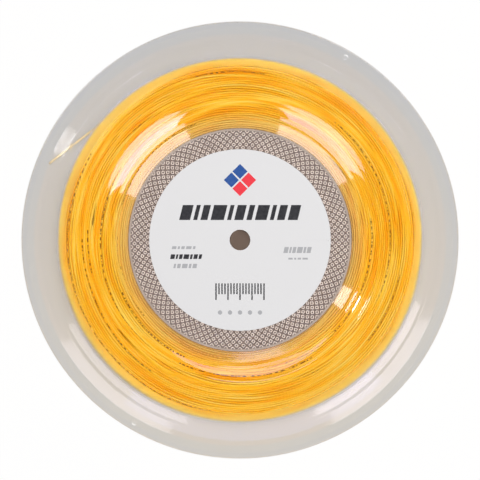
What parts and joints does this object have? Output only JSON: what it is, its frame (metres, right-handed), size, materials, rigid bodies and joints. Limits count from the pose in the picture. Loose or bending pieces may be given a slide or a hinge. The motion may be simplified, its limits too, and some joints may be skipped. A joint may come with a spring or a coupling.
{
  "type": "string reel",
  "caption": "Flanged plastic reel holding wound racket string, with a hollow hub, a spindle bore and a round label.",
  "frame": {"origin": "centre of the reel's rear face, in the plane that the rear rim rests on, with the reel lying flat and the label up", "axes": "+Z along the reel's axis towards the label, +X to the right and +Y to the top of the label as it is read"},
  "size_m": [0.262, 0.262, 0.032],
  "materials": {
    "clear_plastic": "milky clear moulded plastic, polished, with a knurled band round the label",
    "string": "smooth yellow monofilament",
    "label_paper": "white coated paper, satin"
  },
  "bodies": {
    "root": {"front_shell": "clear_plastic", "rear_shell": "clear_plastic", "string_core": "string", "string_winding": "string", "string_tail": "string", "front_label": "label_paper"}
  },
  "joints": []
}
